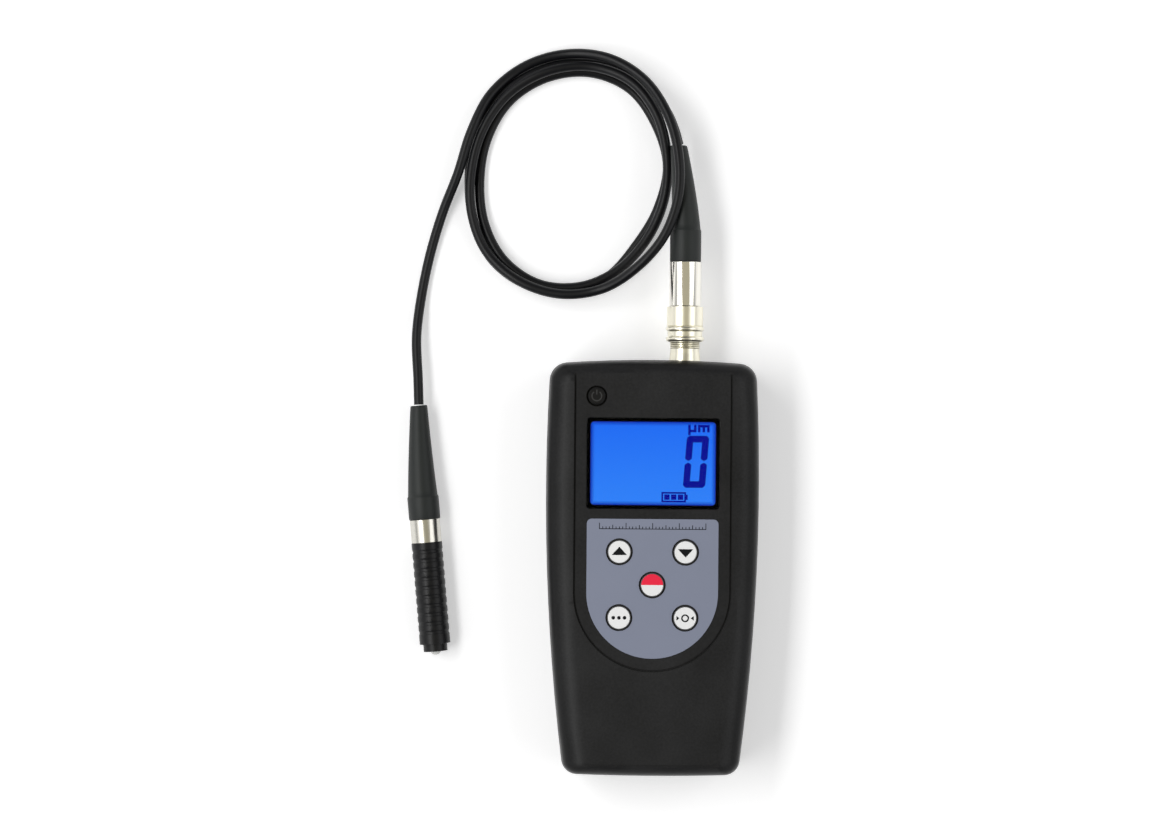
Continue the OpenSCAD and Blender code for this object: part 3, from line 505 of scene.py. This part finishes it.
def arc(centre, radius, start, end, steps):
    turns = [math.radians(start + (end - start) * i / steps) for i in range(steps + 1)]
    return [(centre[0] + radius * math.cos(a), centre[1] + radius * math.sin(a)) for a in turns]


def arc_band(centre, inner, outer, start, end, steps=40):
    return arc(centre, outer, start, end, steps) + arc(centre, inner, end, start, steps)


def bar(x, y, w, h):
    left, right, low, high = x - w / 2, x + w / 2, y - h / 2, y + h / 2
    return [(left, low), (right, low), (right, high), (left, high)]


# Cable, drawn through the same points as its solid

CABLE_D = 3
CABLE_ROUTE = (
    (7.3, 128.8, 9.45), (6, 133.5, 8.5), (3.6, 139, 6.95), (-1.1, 145.1, 4.65), (-11.9, 152.4, 1.8),
    (-25, 154.3, 1.6), (-37.9, 150.7, 1.55), (-48.6, 142.7, 1.55), (-55.2, 131.2, 1.55),
    (-56.7, 118.1, 1.55), (-55.2, 105.2, 1.55), (-49.4, 93.5, 1.55), (-38.9, 86, 1.55),
    (-26.1, 83.8, 1.55), (-14.1, 88.5, 1.55), (-5.4, 98.2, 1.55), (1.2, 109.5, 1.55), (4.1, 122.8, 1.55),
    (0.3, 135.8, 1.55), (-7.7, 146.4, 1.6), (-20.1, 151.2, 2.15), (-33.4, 149.4, 2.4),
    (-44.6, 142.2, 1.6), (-51.3, 130.7, 1.55), (-53.5, 117.6, 1.6), (-51.9, 104.5, 2.25),
    (-45.7, 93.2, 3.45), (-34.9, 86.1, 4.25), (-22, 85.5, 4.6), (-10.3, 91, 4.65), (-1.7, 100.8, 4.3),
    (3.2, 112.8, 4.75), (3.85, 125.49, 7.45), (0.5, 138.2, 8.55), (-7.7, 148.4, 7.05), (-20, 152.8, 5),
    (-33.2, 151.1, 5.05), (-44.8, 144.3, 4.3), (-52.5, 133.5, 4.15), (-56, 120.8, 4.6),
    (-55.8, 107.8, 4.65), (-51.1, 95.8, 5.05), (-41.5, 87.2, 6.65), (-29.1, 83.1, 7.2),
    (-16.2, 84.5, 8.25), (-5.7, 90.7, 13.05), (2.7, 100.2, 15.8), (7.1, 112.4, 16.5),
    (7.2, 125.3, 15.25), (3.8, 137.8, 12.9), (-3.4, 148.6, 9.55), (-14.4, 155.3, 7.05),
    (-27.3, 156.7, 3.55), (-39.9, 152.9, 2.75), (-50.1, 144.4, 3.9), (-56.1, 132.6, 5.55),
    (-60, 120, 5.1), (-64.7, 108, 2.35), (-68.4, 95.5, 1.65), (-71, 82.7, 1.75), (-72.4, 69.9, 3.75),
    (-71.8, 56.9, 4.75), (-71.5, 48.9, 4.8),
)


def smooth_line(points, steps):
    """Points on a smooth curve through all the given ones, straight out of both ends."""
    p = [Vector(point) for point in points]
    p = [2 * p[0] - p[1]] + p + [2 * p[-1] - p[-2]]
    line = []
    for a, b, c, d in zip(p, p[1:], p[2:], p[3:]):
        for k in range(steps):
            t = k / steps
            line.append((2 * b + (c - a) * t + (2 * a - 5 * b + 4 * c - d) * t * t
                         + (3 * b - a - 3 * c + d) * t * t * t) / 2)
    return line + [p[-2]]


def make_cable():
    line = smooth_line(CABLE_ROUTE, 10)
    data = bpy.data.curves.new("cable", "CURVE")
    data.dimensions = "3D"
    data.bevel_depth = CABLE_D / 2 * MM
    data.bevel_resolution = 5
    data.use_fill_caps = True
    spline = data.splines.new("POLY")
    spline.points.add(len(line) - 1)
    for point, place in zip(spline.points, line):
        point.co = (*(place * MM), 1)
    spline.use_smooth = True
    data.materials.append(LOOKS["cable_jacket"])
    cable = bpy.data.objects.new("cable", data)
    bpy.context.collection.objects.link(cable)
    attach(cable, "gauge")
    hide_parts("probe_cable")
    return cable


# Rubber boots: turned round their axis, then leaned towards the cable

BOOT_BEND = 1.5
PLUG_BOOT_ORIGIN = (9.6, 92.9, 12)
PROBE_ORIGIN = (-69.4, 13.8, 4.8)
PROBE_TURN = 5.2


def make_boot(name, node, place, d, straight, taper, tip_d, lean):
    """A straight end with a small step and lip, and a taper that leans over towards its tip."""
    step = 0.25
    lip = 0.35
    steps = 16
    r, tip_r, end = d / 2, tip_d / 2, straight + taper
    profile = [(0, 0), (r - lip, 0), (r - lip * 0.3, lip * 0.3), (r, lip), (r, straight - 2 * step),
               (r - step * 0.3, straight - step), (r - step, straight)]
    for i in range(1, steps):
        f = i / steps
        profile.append((r - step + (tip_r - r + step) * f, straight + taper * f))
    profile += [(tip_r, end - lip), (tip_r - lip * 0.3, end - lip * 0.3), (tip_r - lip, end), (0, end)]
    bm = bmesh.new()
    line = [bm.verts.new((out * MM, 0, up * MM)) for out, up in profile]
    edges = [bm.edges.new(pair) for pair in zip(line, line[1:])]
    bmesh.ops.spin(bm, geom=line + edges, cent=(0, 0, 0), axis=(0, 0, 1), angle=math.tau,
                   steps=56, use_merge=True)
    bmesh.ops.remove_doubles(bm, verts=bm.verts, dist=0.001 * MM)
    bmesh.ops.recalc_face_normals(bm, faces=bm.faces)
    for vert in bm.verts:
        f = max(0, vert.co.z / MM - straight) / taper
        vert.co.x += lean[0] * f ** BOOT_BEND * MM
        vert.co.y += lean[1] * f ** BOOT_BEND * MM
    bmesh.ops.transform(bm, matrix=place, verts=bm.verts)
    boot = add_piece(name, bm, "boot_rubber", "gauge", 50)
    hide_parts(node)
    return boot


def make_boots():
    lying = Matrix.Rotation(math.radians(-90), 4, "X")
    along_connector = Matrix.Translation(Vector(PLUG_BOOT_ORIGIN) * MM) @ lying
    along_probe = (Matrix.Translation(Vector(PROBE_ORIGIN) * MM)
                   @ Matrix.Rotation(math.radians(PROBE_TURN), 4, "Z") @ lying)
    plug = make_boot("plug_strain_relief", "plug_boot", along_connector, 9.5, 10, 25.6, 5.2, (-2.3, 2.5))
    probe = make_boot("probe_strain_relief", "probe_boot", along_probe, 9.6, 7.3, 27.6, 5.2, (1.05, 0))
    return plug, probe


# Thread of the socket's neck, between its flare and the coupling ring

NECK_LEN = 2.1
THREAD_PITCH = 0.5
THREAD_ROOT = 4.42
THREAD_CREST = 4.62
SLEEVE_T = 0.2


def make_socket_thread():
    """Ridges and roots turned round the socket's axis, on a thin sleeve."""
    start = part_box("coupling_ring")[0].y / MM - NECK_LEN
    turns = int(NECK_LEN / THREAD_PITCH)
    profile = [(0, THREAD_ROOT - SLEEVE_T)]
    for i in range(turns):
        profile += [(i * THREAD_PITCH, THREAD_ROOT), ((i + 0.5) * THREAD_PITCH, THREAD_CREST)]
    profile += [(turns * THREAD_PITCH, THREAD_ROOT), (turns * THREAD_PITCH, THREAD_ROOT - SLEEVE_T)]
    x, _, z = PLUG_BOOT_ORIGIN
    bm = bmesh.new()
    verts = [bm.verts.new(Vector((x + r, start + along, z)) * MM) for along, r in profile]
    edges = [bm.edges.new(pair) for pair in zip(verts, verts[1:] + verts[:1])]
    bmesh.ops.spin(bm, geom=verts + edges, cent=Vector((x, 0, z)) * MM, axis=(0, 1, 0),
                   angle=math.tau, steps=64, use_merge=True)
    bmesh.ops.remove_doubles(bm, verts=bm.verts, dist=0.001 * MM)
    bmesh.ops.recalc_face_normals(bm, faces=bm.faces)
    add_piece("socket_thread", bm, "warm_nickel", "gauge")


# Display and keys

def digit_zero(centre, w, h, stroke, slant):
    """Figure of upper and lower bars that meet in points at mid-height, leaning to the right."""
    gap, corner = 0.22, 0.75
    x, y, s = w / 2, h / 2, stroke
    tip = gap + s / 3
    upper = [(-x, tip), (-x, y - corner), (-x + corner, y), (x - corner, y), (x, y - corner), (x, tip),
             (x - s / 2, gap), (x - s, tip), (x - s, y - s), (-x + s, y - s), (-x + s, tip),
             (-x + s / 2, gap)]
    lean = math.tan(math.radians(slant))
    return [[(centre[0] + a + side * b * lean, centre[1] + side * b) for a, b in upper] for side in (1, -1)]


def battery_sign(centre, w, h, stroke):
    """Outline of a cell with its nub and three charge bars."""
    x, y = w / 2, h / 2
    parts = [bar(side * (x - stroke / 2), 0, stroke, h) for side in (-1, 1)]
    parts += [bar(0, side * (y - stroke / 2), w - 2 * stroke, stroke) for side in (-1, 1)]
    parts.append(bar(x + stroke / 2, 0, stroke, h / 2))
    charge_w = (w - 2 * stroke) / 4
    parts += [bar(i * charge_w * 1.28, 0, charge_w, h - 4 * stroke + 0.5) for i in (-1, 0, 1)]
    return [[(centre[0] + a, centre[1] + b) for a, b in part] for part in parts]


def unit_sign(left, base, h, stroke):
    """The unit of length in block letters."""
    s, tail = stroke, 0.9
    first_w, second_w, space = 2.5, 3.5, 0.45
    parts = [bar(s / 2, (h - tail) / 2, s, h + tail), bar(first_w - s / 2, h / 2, s, h),
             bar(first_w / 2, s / 2, first_w - 2 * s, s)]
    start = first_w + space
    post_h = h - s
    for i in range(3):
        parts.append(bar(start + s / 2 + i * (second_w - s) / 2, post_h / 2, s, post_h))
    parts.append(bar(start + second_w / 2, h - s / 2, second_w, s))
    return [[(left + a, base + b) for a, b in part] for part in parts]


def make_display():
    signs = {
        "display_digit": digit_zero((12.93, DISPLAY_Y + 0.6), 6.7, 15.65, 2.0, 4.3),
        "display_unit": unit_sign(10.5, DISPLAY_Y + 9.5, 2.2, 0.74),
        "display_battery_sign": battery_sign((6.3, DISPLAY_Y - 10.1), 7.4, 3.1, 0.5),
    }
    for name, outlines in signs.items():
        make_printed(name, outlines, DISPLAY_GLASS_TOP, "display_ink", "gauge",
                     DISPLAY_INK)


def make_key_signs():
    def on_key(key, outlines, look="print_ink"):
        x, y, z = KEYS[key]
        placed = [[(x + a, y + b) for a, b in outline] for outline in outlines]
        make_printed(f"{key}_sign", placed, z, look, f"{key}_key")

    w, h, rise = 4.6, 2.5, 0.3
    up = [(-w / 2, rise - h / 2), (w / 2, rise - h / 2), (0, rise + h / 2)]
    on_key("up", [up])
    on_key("down", [[(-x, -y) for x, y in up]])
    on_key("count", [arc((x, 0), 0.55, 0, 350, 24) for x in (-1.7, 0, 1.7)])
    zero = [arc_band((0, 0), 0.75, 1.2, 0, 359.9)]
    for side in (-1, 1):
        zero.append([(side * 1.7, 0), (side * 2.6, 0.7), (side * 2.6, -0.7)])
    on_key("zero", zero)
    on_key("power", [arc_band((0, 0), 1.25, 1.65, 125, 415), bar(0, 1.15, 0.4, 1.5)], "power_mark")


def make_label_scale():
    """A plain scale of tick marks along the upper edge of the label."""
    length, base, stroke = 32, 12, 0.22
    ticks = []
    for i in range(length + 1):
        height = 1.8 if i % 8 == 0 else 1.2 if i % 4 == 0 else 0.7
        ticks.append(bar(i - length / 2, base + height / 2, stroke, height))
    ticks.append(bar(0, base, length + stroke, stroke))
    make_printed("label_scale", ticks, LABEL_TOP_Z, "print_ink", "gauge")


def dress_pieces():
    dress("front_shell", "front_cover", edge=0.15)
    dress("rear_shell", "rear_cover", edge=0.15)
    dress("battery_door", "door_panel", "battery_door", edge=0.12)
    dress("key_label", "key_panel_film", edge=0)
    dress("display_window", "window_pane", edge=0.1)
    dress("housing_screws", "back_screws", edge=0)
    for key in KEY_NAMES:
        look = "key_two_tone" if key == "select" else None
        dress(f"{key}_key", f"{key}_cap", f"{key}_key", look, edge=0.25, segments=3)
    dress("probe_sleeve", "probe_grip", edge=0.1)
    dress("probe_collar", "probe_ferrule", look="satin_nickel", edge=0.1)
    dress("plug_shell", "plug_barrel", edge=0.1)
    dress("socket_body", "socket_barrel", look="warm_nickel", edge=0.1)
    dress("coupling_ring", "coupling_nut", "coupling_ring", "warm_nickel", edge=0.1)
    dress("probe_core", "probe_plunger_core", "probe_plunger", edge=0.15)
    dress("probe_tip", "measuring_tip", "probe_plunger", edge=0)
    for i in range(1, 5):
        dress(f"cell_{i}", f"battery_{i}", edge=0.2)


def make_return_spring():
    """The probe's spring, dressed and given a mesh of its own; the real spring shortens towards its upper
    end as the core is pressed in.
    """
    spring = dress("probe_spring", "return_spring", edge=0)
    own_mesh(spring)


def paint_solids():
    """The solids that stay as they are get the finish of their slot."""
    slots = {p["node"]: p["material_slot"] for p in frame["record"]["subparts"]}
    for node, solid in frame["nodes"].items():
        solid.data.materials.clear()
        solid.data.materials.append(LOOKS[slots[node]])


make_camera()
LOOKS = make_finishes()
cable = make_cable()
plug_relief, probe_relief = make_boots()
make_lights()
make_floor()
paint_solids()
dress_pieces()
make_return_spring()
make_socket_thread()
make_display()
make_key_signs()
make_label_scale()

bpy.context.scene.view_settings.view_transform = "Standard"
